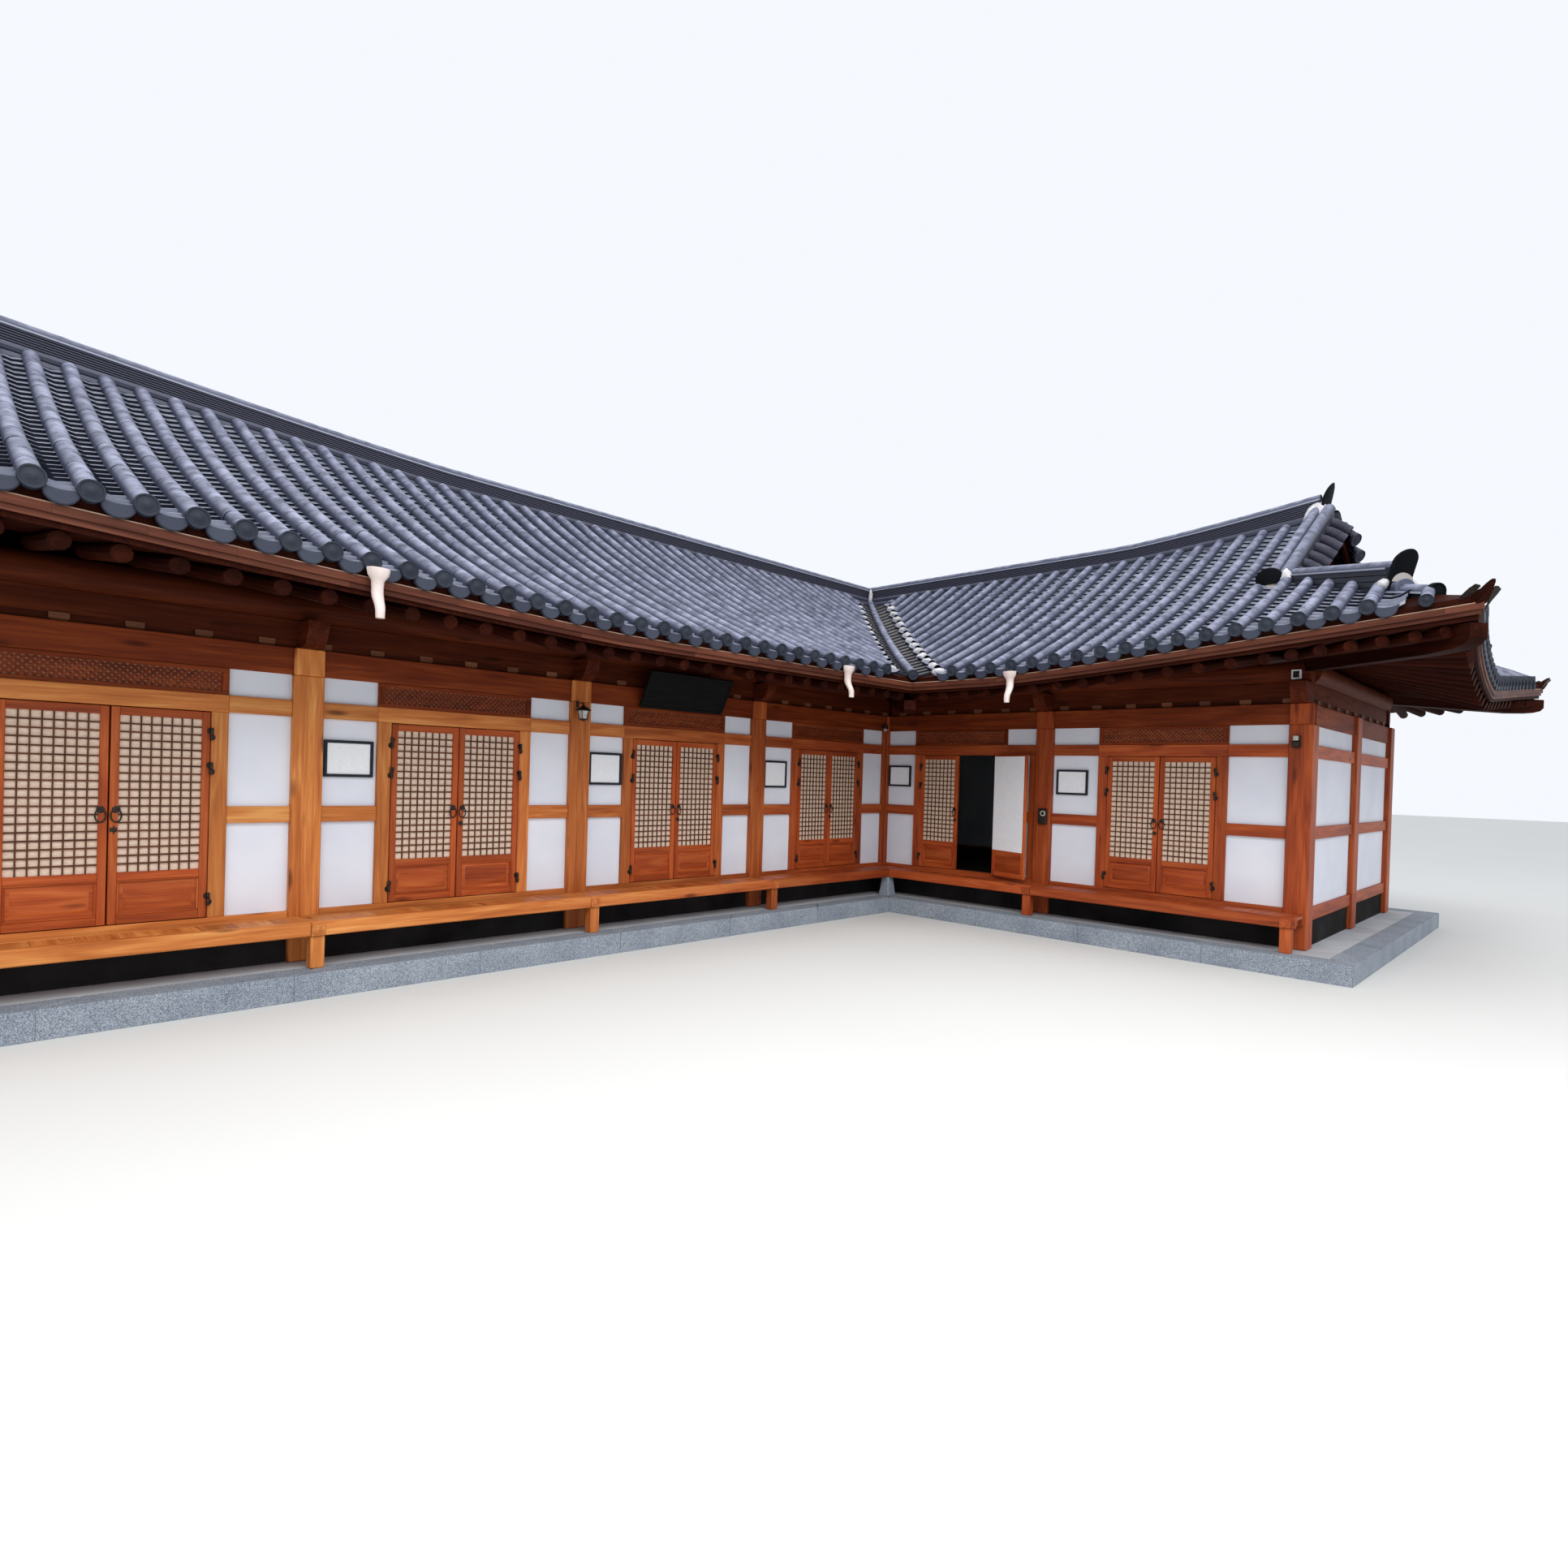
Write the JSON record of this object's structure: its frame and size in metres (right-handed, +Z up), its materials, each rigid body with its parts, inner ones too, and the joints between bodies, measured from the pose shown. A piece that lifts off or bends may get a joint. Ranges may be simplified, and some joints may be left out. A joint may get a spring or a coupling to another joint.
{
  "type": "hanok house",
  "caption": "L-shaped single-storey timber house with a tiled hip-and-gable roof on a raised stone base, narrow verandas and hinged double doors that open on to the courtyard.",
  "frame": {"origin": "on the ground, below the vertical line where the faces of the two courtyard walls meet", "axes": "+Z up, the long wing runs along -Y with its courtyard wall on x = 0, and the short wing runs along +X with its courtyard wall on y = 0"},
  "size_m": [13.424, 18.67, 5.9359],
  "materials": {
    "timber": "oiled pine, honey orange to red orange",
    "dark_timber": "oiled pine under the eaves, deep red brown",
    "door": "oiled pine with lattice bars over warm paper",
    "plaster": "smooth cool white lime plaster",
    "stone": "dressed blue grey granite",
    "tile": "fired blue grey clay tile with a dull sheen",
    "board": "black painted board",
    "spout": "pale pinkish white glaze"
  },
  "bodies": {
    "house": {"podium": "stone", "floor_base": "stone", "corner_stone": "stone", "long_veranda": "timber", "short_veranda": "timber", "corner_post": "timber", "long_frame_1": "timber", "long_frame_2": "timber", "long_frame_3": "timber", "long_frame_4": "timber", "short_frame_1": "timber", "short_frame_2": "timber", "long_plaster_1": "plaster", "long_plaster_2": "plaster", "long_plaster_3": "plaster", "long_plaster_4": "plaster", "short_plaster_1": "plaster", "short_plaster_2": "plaster", "long_rear_frame": "timber", "short_rear_frame": "timber", "long_rear_plaster": "plaster", "short_rear_plaster": "plaster", "long_rear_window_1": "door", "long_rear_window_2": "door", "short_rear_window_1": "door", "long_end_frame": "timber", "short_end_frame": "timber", "long_end_plaster": "plaster", "short_end_plaster": "plaster", "long_plate": "dark_timber", "short_plate": "dark_timber", "long_roof": "tile", "short_roof": "tile", "long_ridge": "tile", "short_ridge": "tile", "outer_hip_ridge": "tile", "long_gable": "timber", "short_gable": "timber", "nameboard": "board", "long_spout_1": "spout", "long_spout_2": "spout", "short_spout_1": "spout"},
    "long_leaf_1_near": {"long_door_1_near": "door"},
    "long_leaf_1_far": {"long_door_1_far": "door"},
    "long_leaf_2_near": {"long_door_2_near": "door"},
    "long_leaf_2_far": {"long_door_2_far": "door"},
    "long_leaf_3_near": {"long_door_3_near": "door"},
    "long_leaf_3_far": {"long_door_3_far": "door"},
    "long_leaf_4_near": {"long_door_4_near": "door"},
    "long_leaf_4_far": {"long_door_4_far": "door"},
    "short_leaf_1_near": {"short_door_1_near": "door"},
    "short_leaf_1_far": {"short_door_1_far": "door"},
    "short_leaf_2_near": {"short_door_2_near": "door"},
    "short_leaf_2_far": {"short_door_2_far": "door"}
  },
  "joints": [
    {"name": "long_1_near_hinge", "type": "hinge", "parent": "house", "child": "long_leaf_1_near", "pos_m": [0.02, -0.691, 0.652], "axis": [0, 0, 1], "range_deg": [0, 180]},
    {"name": "long_1_far_hinge", "type": "hinge", "parent": "house", "child": "long_leaf_1_far", "pos_m": [0.02, -1.979, 0.652], "axis": [0, 0, -1], "range_deg": [0, 180]},
    {"name": "long_2_near_hinge", "type": "hinge", "parent": "house", "child": "long_leaf_2_near", "pos_m": [0.02, -3.471, 0.652], "axis": [0, 0, 1], "range_deg": [0, 180]},
    {"name": "long_2_far_hinge", "type": "hinge", "parent": "house", "child": "long_leaf_2_far", "pos_m": [0.02, -4.759, 0.652], "axis": [0, 0, -1], "range_deg": [0, 180]},
    {"name": "long_3_near_hinge", "type": "hinge", "parent": "house", "child": "long_leaf_3_near", "pos_m": [0.02, -6.171, 0.652], "axis": [0, 0, 1], "range_deg": [0, 180]},
    {"name": "long_3_far_hinge", "type": "hinge", "parent": "house", "child": "long_leaf_3_far", "pos_m": [0.02, -7.459, 0.652], "axis": [0, 0, -1], "range_deg": [0, 180]},
    {"name": "long_4_near_hinge", "type": "hinge", "parent": "house", "child": "long_leaf_4_near", "pos_m": [0.02, -8.871, 0.652], "axis": [0, 0, 1], "range_deg": [0, 180]},
    {"name": "long_4_far_hinge", "type": "hinge", "parent": "house", "child": "long_leaf_4_far", "pos_m": [0.02, -10.159, 0.652], "axis": [0, 0, -1], "range_deg": [0, 180]},
    {"name": "short_1_near_hinge", "type": "hinge", "parent": "house", "child": "short_leaf_1_near", "pos_m": [0.6465, -0.02, 0.652], "axis": [0, 0, -1], "range_deg": [0, 150]},
    {"name": "short_1_far_hinge", "type": "hinge", "parent": "house", "child": "short_leaf_1_far", "pos_m": [1.9345, -0.02, 0.652], "axis": [0, 0, 1], "range_deg": [-160, 20]},
    {"name": "short_2_near_hinge", "type": "hinge", "parent": "house", "child": "short_leaf_2_near", "pos_m": [3.4745, -0.02, 0.652], "axis": [0, 0, -1], "range_deg": [0, 180]},
    {"name": "short_2_far_hinge", "type": "hinge", "parent": "house", "child": "short_leaf_2_far", "pos_m": [4.7625, -0.02, 0.652], "axis": [0, 0, 1], "range_deg": [0, 180]}
  ]
}
